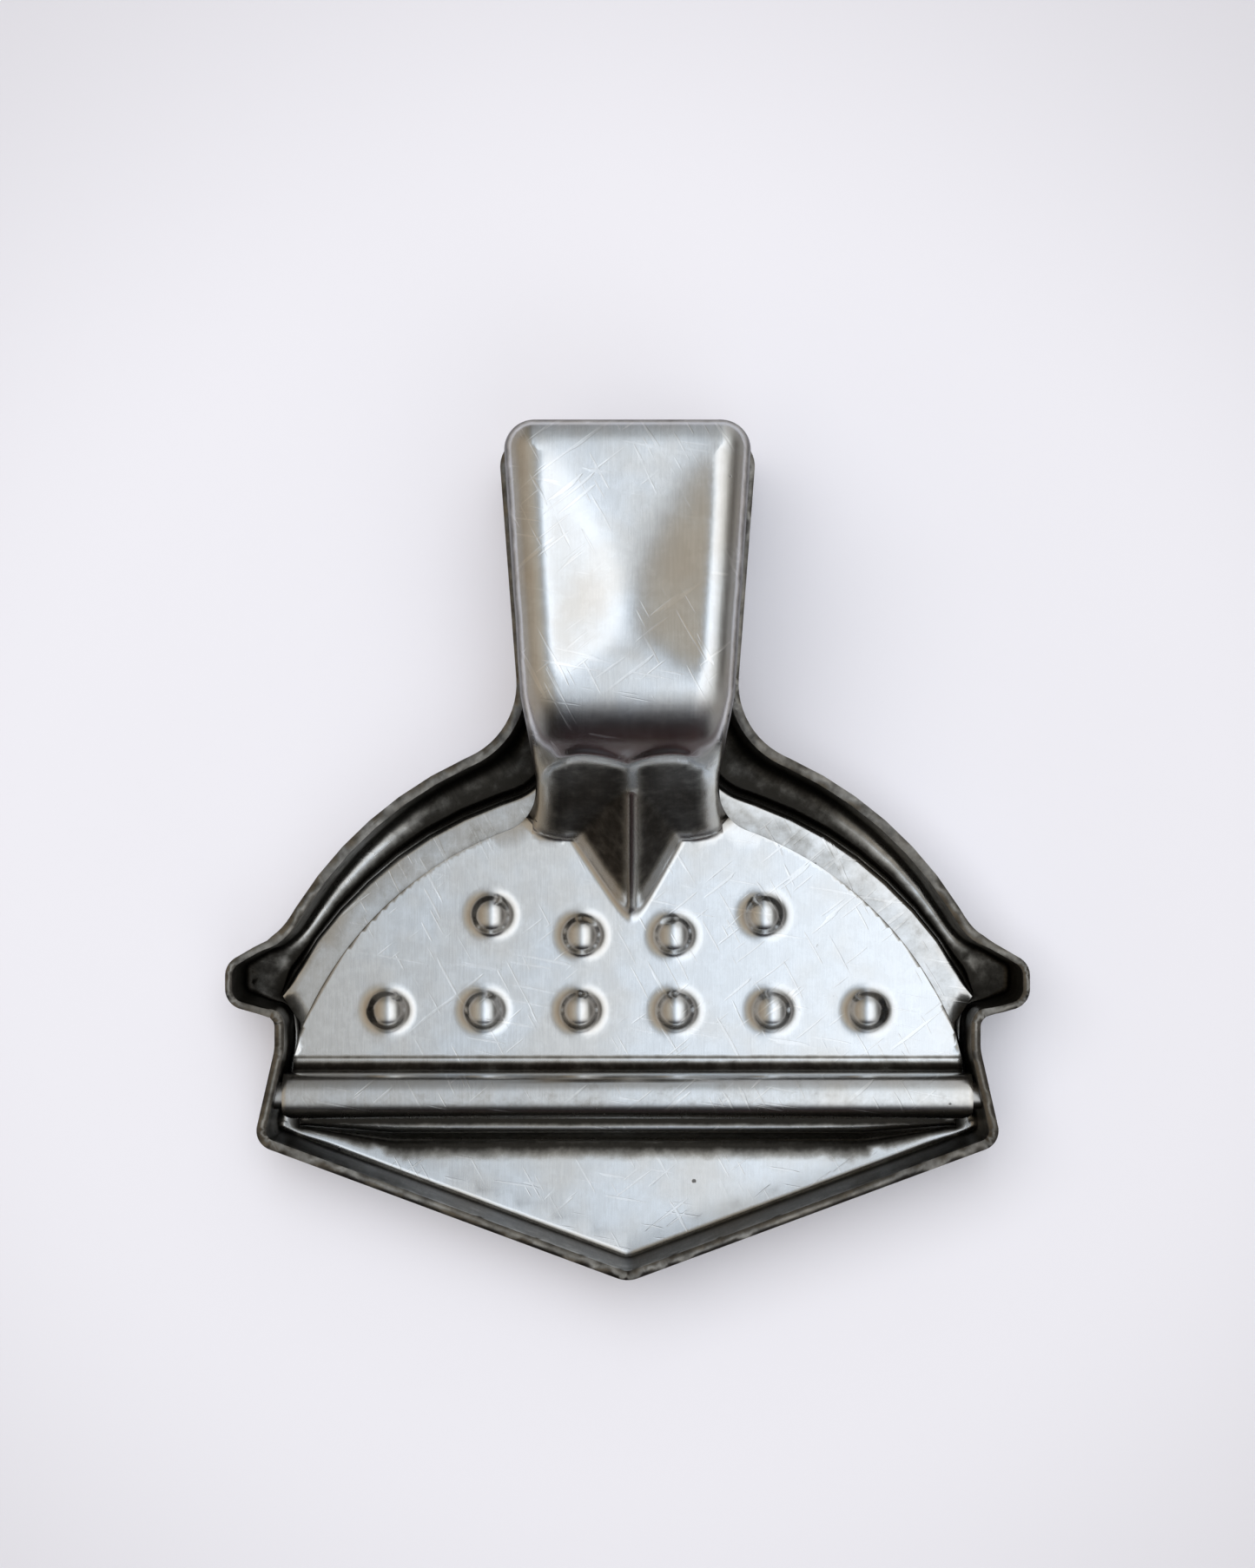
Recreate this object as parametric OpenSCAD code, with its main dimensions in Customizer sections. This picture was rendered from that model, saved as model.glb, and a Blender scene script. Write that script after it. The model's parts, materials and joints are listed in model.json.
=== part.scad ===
// Citrus wedge squeezer, pressed from two stainless sheets that share one hinge.
// The tray has two pouring spouts, a pointed nose and the lower handle. The press
// has the studded plate, a riser and the upper handle, and turns on a pin inside its
// own rolled edge.
//
// The design is laid out from the hinge: X runs along the pin, Y points towards the
// handles and Z is up from the surface that the tray stands on. placed() then puts
// the origin under the middle of the whole squeezer.

/* [Tray] */
// Thickness of the tray's sheet
tray_sheet = 0.95; // [0.8:0.05:1.2]
// Height of the tray's wall
wall_h = 10; // [8:0.5:13]
// Outer radius of the round wall
bowl_r = 39.1; // [32:0.1:47]
// Centre of the round wall, behind the hinge
bowl_back = 1.5; // [0:0.1:3]
// Distance from the hinge to the nose's point
nose_reach = 18.4; // [15:0.1:24]
// How far the shoulders stand inside the round wall's radius
shoulder_step = 1.6; // [0.5:0.1:2.5]
// Distance from the hinge to the shoulders
shoulder_back = 4.5; // [3.5:0.1:6]
// How far the neck stands inside the round wall's radius
neck_step = 3.75; // [3:0.05:5]

/* [Spouts] */
// How far the spouts reach past the round wall's radius
spout_reach = 1.2; // [0.5:0.1:3]
// Distance from the hinge to the spout's lower corner
spout_low = 9.4; // [9:0.1:11]
// Width of the spout between its two corners
spout_w = 4.1; // [3.5:0.1:6]
// Slope of the spout's upper side
spout_slope = 30; // [20:1:40]
// Radius of the spout's corners
spout_r = 2.1; // [1.6:0.1:2.3]

/* [Anvil] */
// Height of the raised anvil that the wedge lies on
anvil_h = 4; // [3:0.1:5.5]
// Width of the gutter behind the anvil
gutter_w = 5.6; // [4.5:0.1:7]
// Gap between the anvil's flanks and the neck's wall
flank_gap = 0.85; // [0.5:0.05:1.5]
// Distance from the hinge to the anvil's front edge
anvil_front = 3.1; // [2.6:0.1:4]
// Length of the ramp from the anvil down to the nose's floor
ramp = 2.4; // [1.5:0.1:3]
// Half width of the anvil's tongue where it enters the lower handle
tongue_half = 7.2; // [5:0.1:8.5]

/* [Handles] */
// How far the lower handle reaches past the round wall
handle_len = 28.9; // [24:0.1:36]
// Half width of the lower handle at its root
lower_root_half = 10.8; // [9:0.1:13]
// Half width of the lower handle at its tip
lower_tip_half = 13; // [11:0.1:15]
// Height of the upper handle's top face
upper_h = 27; // [24:0.5:33]
// How far the upper handle's tip stays short of the lower one
upper_short = 0.3; // [0:0.1:3]
// Half width of the riser at its foot
riser_half = 9; // [8:0.1:10]
// Half width of the upper handle at its tip
upper_tip_half = 11.9; // [10:0.1:13]
// Slope of the riser
riser_slope = 60.5; // [52:0.5:70]
// Depth of the turned down edge
flange = 4; // [3:0.1:5]

/* [Press plate] */
// Thickness of the press's sheet
press_sheet = 0.9; // [0.7:0.05:1]
// Width of the anvil that shows around the plate
margin_w = 3.1; // [2.6:0.1:4]
// Gap between the closed plate and the anvil
plate_gap = 0.4; // [0.3:0.05:1]
// Distance from the plate's top edge back to the riser's foot
foot_inset = 3; // [2.6:0.1:3.6]
// Height of the studs
stud_h = 1.3; // [0.8:0.05:1.5]
// Radius of the ball that the studs are part of
stud_ball = 2.27; // [2:0.01:2.6]
// Distance between the studs of the front row
stud_pitch = 9.75; // [8:0.05:10.5]
// Distance from the hinge to the front row
front_row = 8.5; // [7.5:0.1:9.5]
// Half width of the gusset's base
gusset_half = 5.1; // [4:0.1:6]
// Length of the gusset on the plate
gusset_len = 8.4; // [6:0.1:9]
// How far the gusset's ridge climbs the riser, measured along Y
gusset_reach = 7; // [4:0.1:8]

/* [Hinge] */
// Diameter of the hinge pin
pin_d = 2.8; // [2.2:0.05:3.5]
// Radial play of the pin in the rolled edge
pin_play = 0.06; // [0.02:0.01:0.1]
// Gap under the rolled edge
barrel_gap = 0.3; // [0.2:0.05:0.6]
// Gap between the rolled edge's ends and the tray's wall
end_gap = 0.25; // [0.15:0.05:0.6]
// How far the pin's ends stay inside the wall's outer face
pin_sink = 0.1; // [0:0.05:0.3]

/* [Hidden] */

arc_step = 6;          // degrees between the points of a rounded corner
through = 1;           // overshoot of a cut, so that it opens cleanly
$fn = 48;

nose_r = 3;
shoulder_r = 2;
neck_r = 5;
lip_r = 1.1;
spout_blend_r = 7;
spout_blend = 4;       // degrees of the round wall given up to that blend
handle_blend_r = 8;
handle_blend = 8.8;
tongue_blend_r = 6;
handle_tip_r = 3.2;
bend_r = 7.5;
foot_r = 1.5;
upper_tip_r = 2.8;
stud_rows = [[4.65, 7.65], [13.85, 9.7]];  // other studs: X, and Y from the front row

bowl_y = -bowl_back;
neck_half = bowl_r - neck_step;
neck_y = 4.9;
lip_y = spout_low - 1.4;
shoulder_half = bowl_r - shoulder_step;
spout_half = bowl_r + spout_reach;

anvil_r = bowl_r - 0.2;
anvil_y = bowl_y + bowl_r - gutter_w - anvil_r;
anvil_half = neck_half - tray_sheet - flank_gap;
anvil_corner = lip_y + 0.7;

plate_r = anvil_r - margin_w;
plate_top = anvil_h + plate_gap + press_sheet;
foot_y = anvil_y + plate_r - foot_inset;

pin_r = pin_d / 2;
barrel_bore = pin_r + pin_play;
barrel_r = barrel_bore + press_sheet;
pin_z = anvil_h + barrel_gap + barrel_r;
plate_front = barrel_r + pin_z - plate_top;

lower_tip_y = bowl_y + bowl_r + handle_len;
upper_tip_y = lower_tip_y - upper_short;
flare_low = [lower_tip_half - lower_root_half, handle_len];
flare_up = (upper_tip_half - riser_half) / (upper_tip_y - foot_y);
middle_y = (lower_tip_y - nose_reach) / 2;

// ---- Plane geometry ----

function unit(v) = v / norm(v);
function left_of(v) = [-v[1], v[0]];
function turned(v, a) = [v[0] * cos(a) - v[1] * sin(a), v[0] * sin(a) + v[1] * cos(a)];
function xy(c) = [c[0], c[1]];

// The point where the line through p along d crosses the line through q along e
function meet(p, d, q, e) = p + d * cross(q - p, e) / cross(d, e);

// The point, seen from p along d, where a line enters the circle about [0, y]
function enter_circle(y, r, p, d) =
    let (f = p - [0, y], b = f * d)
    p + d * (-b - sqrt(b * b - f * f + r * r));

// The same for a line that leaves the circle
function leave_circle(y, r, p, d) =
    let (f = p - [0, y], b = f * d)
    p + d * (-b + sqrt(b * b - f * f + r * r));

function angle_at(y, p) = atan2(p[1] - y, p[0]);
function on_circle(y, r, a) = [r * cos(a), y + r * sin(a)];

// The corner whose rounding is the arc of the circle about [0, y] from angle a to b
function arc_corner(y, r, a, b) =
    let (far = r / cos((b - a) / 2), mid = (a + b) / 2)
    [far * cos(mid), y + far * sin(mid), r];

// The points of the arc that rounds the corner b, given as [x, y, radius]
function round_corner(a, b, c) =
    b[2] == 0 ? [xy(b)] :
    let (
        u = unit(xy(a) - xy(b)),
        v = unit(xy(c) - xy(b)),
        half = acos(u * v) / 2,
        centre = xy(b) + unit(u + v) * b[2] / sin(half),
        first = xy(b) + u * b[2] / tan(half) - centre,
        turn = 180 - 2 * half,
        steps = ceil(turn / arc_step),
        way = -sign(cross(u, v))
    )
    [for (i = [0:steps]) centre + turned(first, way * turn * i / steps)];

// A closed outline with every corner rounded
function rounded(c) =
    let (n = len(c))
    [for (i = [0:n - 1]) each round_corner(c[(i + n - 1) % n], c[i], c[(i + 1) % n])];

// The right half's corners and their mirror images
function both_sides(half) = concat(
    half,
    [for (i = [len(half) - 1:-1:0]) if (half[i][0] > 0) [-half[i][0], half[i][1], half[i][2]]]
);

// A closed outline moved inwards by d
function inset(p, d) =
    let (n = len(p))
    [for (i = [0:n - 1])
        let (
            a = left_of(unit(p[i] - p[(i + n - 1) % n])),
            b = left_of(unit(p[(i + 1) % n] - p[i]))
        )
        p[i] + (a + b) * d / (1 + a * b)];

// An open line of points moved to its right by d
function beside(p, d) =
    let (n = len(p) - 1)
    [for (i = [0:n])
        let (
            a = left_of(unit(p[max(i, 1)] - p[max(i, 1) - 1])),
            b = left_of(unit(p[min(i, n - 1) + 1] - p[min(i, n - 1)]))
        )
        p[i] - (a + b) * d / (1 + a * b)];

function reversed(p) = [for (i = [len(p) - 1:-1:0]) p[i]];

// ---- Outlines ----

// X of the tray's outer face beside the hinge
function neck_x(y) =
    shoulder_half + (neck_half - shoulder_half) * (y + shoulder_back) / (neck_y + shoulder_back);

function tray_corners() =
    let (
        top_way = [-cos(spout_slope), sin(spout_slope)],
        spout_top = [spout_half, spout_low + spout_w],
        a = angle_at(bowl_y, enter_circle(bowl_y, bowl_r, spout_top, top_way)) + spout_blend,
        root = [lower_root_half, bowl_y + bowl_r],
        side = unit(flare_low),
        b = angle_at(bowl_y, leave_circle(bowl_y, bowl_r, root, side)) - handle_blend,
        blend_low = meet(on_circle(bowl_y, bowl_r, a), [-sin(a), cos(a)], spout_top, top_way),
        blend_top = meet(on_circle(bowl_y, bowl_r, b), [-sin(b), cos(b)], root, side)
    )
    both_sides([
        [0, -nose_reach, nose_r],
        [shoulder_half, -shoulder_back, shoulder_r],
        [neck_half, neck_y, neck_r],
        [neck_half, lip_y, lip_r],
        [spout_half, spout_low, spout_r],
        [spout_top[0], spout_top[1], spout_r],
        [blend_low[0], blend_low[1], spout_blend_r],
        arc_corner(bowl_y, bowl_r, a, b),
        [blend_top[0], blend_top[1], handle_blend_r],
        [lower_tip_half, lower_tip_y, handle_tip_r]
    ]);

function anvil_corners() =
    let (
        tip_half = lower_tip_half - (lower_root_half - tongue_half),
        a = asin((anvil_corner - anvil_y) / anvil_r),
        root = [tongue_half, anvil_y + anvil_r],
        end = [tip_half, lower_tip_y - gutter_w],
        side = unit(end - root),
        b = angle_at(anvil_y, leave_circle(anvil_y, anvil_r, root, side)) - handle_blend,
        blend = meet(on_circle(anvil_y, anvil_r, b), [-sin(b), cos(b)], root, side)
    )
    both_sides([
        [anvil_half, -anvil_front, 0],
        [anvil_half, anvil_corner - (neck_half - anvil_half), 0],
        [anvil_r * cos(a), anvil_corner, 0],
        arc_corner(anvil_y, anvil_r, a + 3, b),
        [blend[0], blend[1], tongue_blend_r],
        [end[0], end[1], handle_tip_r]
    ]);

// The riser and the upper handle from above
function upper_outline() = rounded(both_sides([
    [riser_half - flare_up * foot_inset, foot_y - foot_inset, 0],
    [upper_tip_half, upper_tip_y, upper_tip_r]
]));

// The top face's line from the plate over the riser to the handle's tip, as [y, z]
function press_line() =
    let (
        rise = upper_h - plate_top,
        start = [foot_y - foot_inset, plate_top, 0],
        foot = [foot_y, plate_top, foot_r],
        crest = [foot_y + rise / tan(riser_slope), upper_h, bend_r],
        end = [upper_tip_y + through, upper_h, 0]
    )
    concat(
        [xy(start)],
        round_corner(start, foot, crest),
        round_corner(foot, crest, end),
        [xy(end)]
    );

// ---- Solids ----

module placed() {
    translate([0, -middle_y, 0]) children();
}

// A profile given as [y, z], drawn out along X to both sides
module along_x(half) {
    rotate([90, 0, 90]) translate([0, 0, -half]) linear_extrude(2 * half) children();
}

// The anvil with the ramp that leads down to the nose's floor, filled solid
module anvil_block(outline, half, front) {
    linear_extrude(anvil_h) polygon(outline);
    along_x(half) polygon([
        [through - front, 0],
        [-front - ramp, 0],
        [-front, anvil_h],
        [through - front, anvil_h]
    ]);
}

module juice_tray() {
    outline = rounded(tray_corners());
    anvil = rounded(anvil_corners());
    color([0.72, 0.72, 0.71]) placed() difference() {
        union() {
            difference() {
                linear_extrude(wall_h) polygon(outline);
                translate([0, 0, tray_sheet])
                    linear_extrude(wall_h) polygon(inset(outline, tray_sheet));
            }
            anvil_block(anvil, anvil_half, anvil_front);
        }
        translate([0, 0, -tray_sheet]) anvil_block(
            inset(anvil, tray_sheet),
            anvil_half - tray_sheet,
            anvil_front - tray_sheet / 2
        );
        along_x(neck_x(0) + through) translate([0, pin_z]) circle(pin_r);
    }
}

// A slab that follows the press's line, from depth a to depth b below its top face
module slab(outline, a, b) {
    line = press_line();
    intersection() {
        along_x(2 * upper_tip_half)
            polygon(concat(beside(line, a), reversed(beside(line, b))));
        linear_extrude(2 * upper_h) polygon(outline);
    }
}

module upper_handle() {
    difference() {
        slab(upper_outline(), 0, flange);
        slab(inset(upper_outline(), press_sheet), press_sheet, flange + through);
        translate([-upper_tip_half, 0, 0])
            cube([2 * upper_tip_half, upper_tip_y, plate_top - press_sheet]);
    }
}

// A wedge that leans on the riser, with its ridge in the middle
module gusset_wedge() {
    low = plate_top - press_sheet / 2;
    back = foot_y + press_sheet / 2;
    polyhedron(
        [
            [0, foot_y - gusset_len, low],
            [gusset_half, back, low],
            [-gusset_half, back, low],
            [0, back + gusset_reach, plate_top + gusset_reach * tan(riser_slope)]
        ],
        [[0, 1, 2], [0, 3, 1], [1, 3, 2], [2, 3, 0]]
    );
}

module half_disc() {
    intersection() {
        translate([0, anvil_y, plate_top - press_sheet])
            cylinder(r = plate_r, h = press_sheet, $fn = 96);
        translate([-plate_r, plate_front, 0]) cube([2 * plate_r, plate_r * 2, upper_h]);
    }
}

// The sheet's curve from the plate up into the rolled edge
module roll_root() {
    half = sqrt(pow(plate_r, 2) - pow(plate_front - anvil_y, 2));
    bend = pin_z - plate_top;
    along_x(half) intersection() {
        translate([barrel_bore, plate_top - press_sheet])
            square([plate_front - barrel_bore, bend + press_sheet]);
        translate([plate_front, pin_z]) difference() {
            circle(bend + press_sheet);
            circle(bend);
        }
    }
}

module stud_dome(r) {
    translate([0, 0, plate_top + stud_h - stud_ball]) sphere(r);
}

module at_studs() {
    for (side = [-1, 1]) {
        for (i = [0:2]) translate([side * (i + 0.5) * stud_pitch, front_row, 0]) children();
        for (s = stud_rows) translate([side * s[0], front_row + s[1], 0]) children();
    }
}

module press_plate() {
    barrel_half = neck_x(barrel_r) - tray_sheet - end_gap;
    under = plate_top - press_sheet;
    inner = stud_ball - press_sheet;
    color([0.78, 0.8, 0.82]) placed() difference() {
        union() {
            difference() {
                half_disc();
                translate([-riser_half + press_sheet, foot_y + press_sheet / 2, 0])
                    cube([2 * (riser_half - press_sheet), foot_inset * 2, upper_h]);
            }
            upper_handle();
            gusset_wedge();
            roll_root();
            along_x(barrel_half) translate([0, pin_z]) circle(barrel_r);
            intersection() {
                at_studs() stud_dome(stud_ball);
                translate([-plate_r, 0, under]) cube([2 * plate_r, foot_y, upper_h]);
            }
        }
        at_studs() {
            stud_dome(inner);
            translate([0, 0, under - through])
                cylinder(r = inner, h = through + press_sheet + stud_h - stud_ball);
        }
        along_x(barrel_half + through) translate([0, pin_z]) circle(barrel_bore);
    }
}

module hinge_pin() {
    half = neck_x(0) - pin_sink;
    color([0.62, 0.62, 0.62]) placed()
        along_x(half) translate([0, pin_z]) circle(pin_r);
}

juice_tray();
press_plate();
hinge_pin();
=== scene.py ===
import json
import math

import bmesh
import bpy
import numpy as np
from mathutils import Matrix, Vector
from mathutils.geometry import delaunay_2d_cdt


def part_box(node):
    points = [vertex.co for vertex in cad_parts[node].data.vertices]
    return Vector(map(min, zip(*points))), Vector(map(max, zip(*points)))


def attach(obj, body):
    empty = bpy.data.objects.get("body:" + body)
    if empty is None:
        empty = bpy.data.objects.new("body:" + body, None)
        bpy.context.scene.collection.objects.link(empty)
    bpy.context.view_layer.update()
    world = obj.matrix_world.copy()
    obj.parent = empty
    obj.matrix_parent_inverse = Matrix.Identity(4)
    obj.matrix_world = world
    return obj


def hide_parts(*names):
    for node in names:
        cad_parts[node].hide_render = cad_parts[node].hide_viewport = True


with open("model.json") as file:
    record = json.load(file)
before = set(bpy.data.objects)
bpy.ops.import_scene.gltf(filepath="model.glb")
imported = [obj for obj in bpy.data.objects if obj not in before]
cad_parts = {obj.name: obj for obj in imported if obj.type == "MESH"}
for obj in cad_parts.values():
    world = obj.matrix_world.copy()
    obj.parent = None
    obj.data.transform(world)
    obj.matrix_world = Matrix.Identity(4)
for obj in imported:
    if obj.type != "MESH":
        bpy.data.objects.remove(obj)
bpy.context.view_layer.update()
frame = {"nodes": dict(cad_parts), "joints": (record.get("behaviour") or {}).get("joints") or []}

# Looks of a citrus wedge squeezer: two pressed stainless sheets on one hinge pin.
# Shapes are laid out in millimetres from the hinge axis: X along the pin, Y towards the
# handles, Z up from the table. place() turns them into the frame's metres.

# ---- Sizes taken from the frame ----

MM = 0.001
HINGE_Y = frame["joints"][0]["pos_m"][1]
PIN_Z = frame["joints"][0]["pos_m"][2] / MM


def reach(node):
    """The highest corner of a CAD node's box, in millimetres from the hinge."""
    x, y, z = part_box(node)[1]
    return np.array([x, y - HINGE_Y, z]) / MM


TRAY_HIGH = reach("juice_tray")
PRESS_HIGH = reach("press_plate")

# ---- Sizes of the tray ----

SHEET = 0.95
THIN_SHEET = 0.68            # where the spouts are drawn out
RIM_STAIN = 0.62             # how dull the cut edges are
GRID = 1.6                   # spacing of points on the flat faces
WALL_H = TRAY_HIGH[2]
SPOUT_HALF = TRAY_HIGH[0]
BOWL_R = SPOUT_HALF - 1.2
BOWL_Y = -1.5
NOSE_Y = -18.4
SHOULDER = (BOWL_R - 1.6, -4.5)
NECK_HALF = BOWL_R - 3.75
NECK_Y = 4.9
LIP_Y = 8.0
SPOUT_LOW_Y = 9.4
SPOUT_HIGH_Y = 13.5
SPOUT_SLOPE = math.radians(30)
LOWER_TIP_Y = TRAY_HIGH[1]
LOWER_ROOT_HALF = 10.8
LOWER_TIP_HALF = 13.0
DRAFT = 0.3                  # how far the wall leans in over its height
CREASE_R = 2.3               # where the wall meets the floor
TIGHT_R = 0.7                # the same in the nose and the spouts

ANVIL_H = 4.0
ANVIL_R = BOWL_R - 0.2
GUTTER = 5.6
ANVIL_Y = BOWL_Y + BOWL_R - GUTTER - ANVIL_R
ANVIL_HALF = NECK_HALF - SHEET - 0.85
ANVIL_FRONT = -3.1
RAMP = 2.6                   # longest slope from the nose floor up to the anvil
RAMP_PAINTED_SHADE = (               # share of the drop, and the painted shade there: dark at the top for the barrel's shadow, clear at the edge for its highlight, a dark band below for a dark reflection, lighter lower down, dark again in the crease at the foot
    (0, 1),
    (0.015, 0.4),
    (0.04, 0),
    (0.12, 0),
    (0.2, 0.9),
    (0.45, 0.75),
    (0.8, 0.35),
    (0.95, 0.5),
    (1, 1),
)
EAR = (35.4, 9.9)            # the anvil's corner beside the spout
EDGE_TOP_R, EDGE_FOOT_R = 1.15, 0.7
EDGE_SLOPE = math.radians(72)
TONGUE_HALF = 7.2

# ---- Sizes of the press ----

PRESS_SHEET = 0.9
PLATE_GRID, FOOT_GRID = 0.42, 0.24
PLATE_TOP = 5.3
PLATE_R = ANVIL_R - 3.1
BARREL_R = 2.36
PLATE_FRONT = BARREL_R + PIN_Z - PLATE_TOP
PLATE_EDGE = 33.95           # half width of the plate where the roll begins
BARREL_HALF = PRESS_HIGH[0]
ROLL_PAINTED_SHADE = (               # length along the roll from the plate, and the painted shade there: dark in the crease where the plate rolls over, darker again round the barrel's near side and underside
    (0, 0),
    (0.3, 0.2),
    (0.7, 0.9),
    (1.4, 0.9),
    (1.8, 0.3),
    (2.1, 0.08),
    (6, 0.2),
    (9, 0.4),
    (20, 0.7),
)
FOOT_Y = ANVIL_Y + PLATE_R - 3.0
UPPER_H = PRESS_HIGH[2]
UPPER_TIP_Y = PRESS_HIGH[1] + 0.3
RISER_SLOPE = math.radians(64)
BEND_R = 12.5
FLARE_Y = 30.2               # where the plate's edge runs into the riser's
EDGE_DRAFT = 0.2
EDGE_R = 3.6
EDGE_DROP = 2.2
DISH_HALF = 8.2
DISH_LOW, DISH_HIGH = 41.2, 64.3
DISH_DEPTH = 1.3

# Y from the hinge, and half width of the riser and upper handle there.
WAIST = (
    (24, 10.4),
    (27, 9.9),
    (29.5, 9.4),
    (32, 9.15),
    (36.5, 9.75),
    (40, 10.35),
    (47.2, 10.75),
    (54.1, 11.3),
    (63.4, 11.9),
    (68, 12.1),
)

STUD_REACH = 3.1
STUD_H = 1.22
STUD_UNEVEN = 0.05
STUD_SECTION = (             # distance from the middle, and height, as shares
    (0.16, 0.975),
    (0.33, 0.86),
    (0.5, 0.6),
    (0.62, 0.28),
    (0.74, 0.09),
    (0.87, 0.02),
)
STUD_ROOM = 3.3              # the finer mesh that a stud needs
FRONT_COUNT = 6
FRONT_ROW_Y = 8.5
FRONT_PITCH = 9.75
BACK_STUDS = [(4.65, 16.15), (13.85, 18.2)]

GUSSET_TIP_Y = 17.6
GUSSET_TOP = (33.2, 12.6)    # Y, and height above the plate
GUSSET_HALF = 5.2
GUSSET_X = 0.5               # its ridge runs a little off the middle


# ---- Plane geometry ----

def unit(v):
    return v / np.linalg.norm(v)


def cross2(a, b):
    return a[..., 0] * b[..., 1] - a[..., 1] * b[..., 0]


def meet(p, d, q, e):
    """Where the line through p along d crosses the line through q along e."""
    p, d, q, e = (np.array(v, float) for v in (p, d, q, e))
    return p + d * cross2(q - p, e) / cross2(d, e)


def hit_circle(y, r, p, d, leave):
    """Where the line from p along d enters, or leaves, the circle about (0, y)."""
    p, d = np.array(p, float), np.array(d, float)
    f = p - (0, y)
    b = f @ d
    root = math.sqrt(b * b - f @ f + r * r)
    return p + d * (-b + (root if leave else -root))


def on_circle(y, r, a):
    return np.array([r * math.cos(a), y + r * math.sin(a)])


def arc_corner(y, r, a, b):
    """The corner whose rounding is the arc of the circle about (0, y) from a to b."""
    far, mid = r / math.cos((b - a) / 2), (a + b) / 2
    return (far * math.cos(mid), y + far * math.sin(mid), r)


def round_corner(a, b, c, step):
    """Points of the arc that rounds corner b, given as (x, y, radius)."""
    p = np.array(b[:2], float)
    if b[2] == 0:
        return [p]
    u = unit(np.array(a[:2]) - p)
    v = unit(np.array(c[:2]) - p)
    half = math.acos(max(-1, min(1, u @ v))) / 2
    centre = p + unit(u + v) * b[2] / math.sin(half)
    first = p + u * b[2] / math.tan(half) - centre
    turn = math.pi - 2 * half
    count = max(1, math.ceil(min(turn / step, b[2] * turn / 0.1)))
    way = -np.sign(cross2(u, v))
    out = []
    for i in range(count + 1):
        w = way * turn * i / count
        out.append(centre + (
            first[0] * math.cos(w) - first[1] * math.sin(w),
            first[0] * math.sin(w) + first[1] * math.cos(w),
        ))
    return out


def both_sides(half):
    return half + [(-x, y, r) for x, y, r in reversed(half) if x > 0]


def rounded(corners, step=math.radians(6), gap=0.7):
    """A closed outline with rounded corners and no stretch longer than gap."""
    n = len(corners)
    raw = []
    for i in range(n):
        raw += round_corner(corners[i - 1], corners[i], corners[(i + 1) % n], step)
    out = []
    for i, p in enumerate(raw):
        q = raw[(i + 1) % len(raw)]
        far = np.linalg.norm(q - p)
        if far < 1e-4:
            continue
        parts = max(1, math.ceil(far / gap))
        out += [p + (q - p) * k / parts for k in range(parts)]
    return np.array(out)


def moved(p, d):
    """A closed outline moved inwards, by d[i] at the side from point i to the next."""
    d = np.broadcast_to(np.asarray(d, float), (len(p),))
    side = np.roll(p, -1, axis=0) - p
    side /= np.linalg.norm(side, axis=1)[:, None]
    n2 = np.stack([-side[:, 1], side[:, 0]], axis=1)
    n1, d1 = np.roll(n2, 1, axis=0), np.roll(d, 1)
    det = cross2(n1, n2)
    sharp = np.abs(det) > 0.35
    safe = np.where(sharp, det, 1.0)
    corner = np.stack([
        (d1 * n2[:, 1] - d * n1[:, 1]) / safe,
        (d * n1[:, 0] - d1 * n2[:, 0]) / safe,
    ], axis=1)
    smooth = (n1 + n2) * ((d1 + d) / 2 / (1 + (n1 * n2).sum(axis=1)))[:, None]
    return p + np.where(sharp[:, None], corner, smooth)


def inside(poly, pts):
    """Which points lie inside a closed outline."""
    hit = np.zeros(len(pts), bool)
    q = np.roll(poly, -1, axis=0)
    x, y = pts[:, 0], pts[:, 1]
    for (ax, ay), (bx, by) in zip(poly, q):
        if ay == by:
            continue
        over = (ay > y) != (by > y)
        hit ^= over & (x < (bx - ax) * (y - ay) / (by - ay) + ax)
    return hit


def away(poly, pts, closed=True):
    """Distance from each point to an outline."""
    best = np.full(len(pts), 1e9)
    ends = np.roll(poly, -1, axis=0) if closed else poly[1:]
    starts = poly if closed else poly[:-1]
    for a, b in zip(starts, ends):
        ab = b - a
        t = np.clip(((pts - a) @ ab) / max(ab @ ab, 1e-12), 0, 1)
        best = np.minimum(best, np.linalg.norm(pts - a - t[:, None] * ab, axis=1))
    return best


def smooth(x, low, high):
    t = np.clip((np.asarray(x, float) - low) / (high - low), 0, 1)
    return t * t * (3 - 2 * t)


def soft_max(a, b, k):
    """The larger of two heights, with the crease between them rounded over k."""
    h = np.clip(0.5 + 0.5 * (a - b) / k, 0, 1)
    return b + (a - b) * h + k * h * (1 - h)


# ---- Sheets ----

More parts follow.
